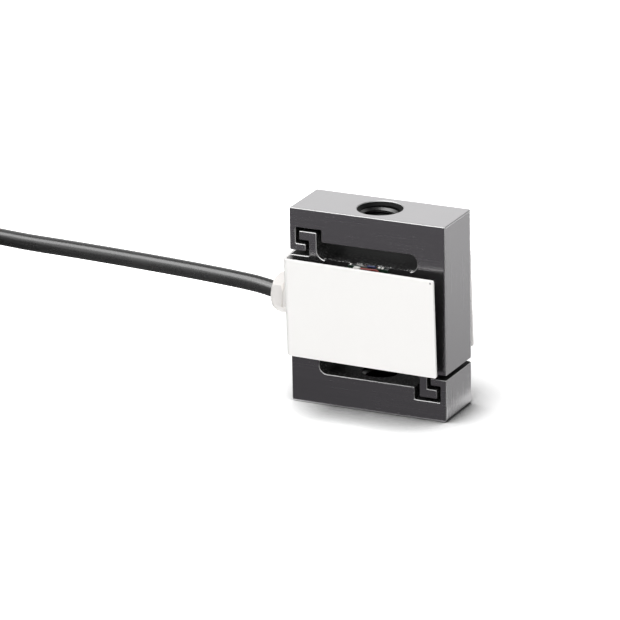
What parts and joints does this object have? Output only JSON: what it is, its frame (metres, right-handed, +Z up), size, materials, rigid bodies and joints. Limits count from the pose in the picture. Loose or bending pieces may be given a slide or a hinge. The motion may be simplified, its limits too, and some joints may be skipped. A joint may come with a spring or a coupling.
{
  "type": "s type load cell",
  "caption": "S-shaped bending beam load cell: slotted steel block with threaded holes at top and bottom, a folded sheet cover round its middle, and a round cable from a side gland.",
  "frame": {"origin": "where the axis of the two threaded holes meets the bottom face", "axes": "+Z up along the load axis, +X across the S away from the cable gland, +Y through the S from its front face to its back face"},
  "size_m": [0.2172, 0.0696, 0.061],
  "materials": {
    "nickel_steel": "fine ground and nickel plated",
    "off_white_enamel": "smooth, slightly glossy",
    "nickel_brass": "bright nickel plate",
    "black_rubber": "matt",
    "green_board": "lacquered",
    "solder": "bright, rounded",
    "white_plastic": "satin",
    "brown_resin": "dipped",
    "red_insulation": "smooth",
    "blue_insulation": "smooth",
    "copper_wire": "enamelled wire",
    "black_jacket": "smooth, glossy",
    "tie_strap": "satin",
    "shrink_sleeve": "satin",
    "gauge_foil": "amber film over foil",
    "green_insulation": "smooth"
  },
  "bodies": {
    "root": {"spring_body": "nickel_steel", "wrap_cover": "off_white_enamel", "gland_body": "nickel_brass", "gland_washer": "nickel_brass", "gland_cap": "nickel_brass", "gland_seal": "black_rubber", "terminal_board": "green_board", "solder_pads": "solder", "terminal_block": "white_plastic", "balance_resistor": "brown_resin", "span_resistor": "brown_resin", "jumper_red": "red_insulation", "jumper_blue": "blue_insulation", "sealant_beads": "white_plastic", "gauge_wires": "copper_wire", "cable_entry": "black_jacket", "signal_cable": "black_jacket", "cable_coil": "black_jacket", "coil_tie_1": "tie_strap", "coil_tie_2": "tie_strap", "cable_end_sleeve": "shrink_sleeve", "core_tips": "solder", "gauge_upper_left": "gauge_foil", "gauge_upper_right": "gauge_foil", "gauge_lower_left": "gauge_foil", "gauge_lower_right": "gauge_foil", "lead_white": "white_plastic", "lead_green": "green_insulation", "lead_black": "black_jacket", "lead_red": "red_insulation", "free_core_red": "red_insulation", "free_core_black": "black_jacket", "free_core_screen": "copper_wire", "free_core_green": "green_insulation", "free_core_white": "white_plastic"}
  },
  "joints": []
}
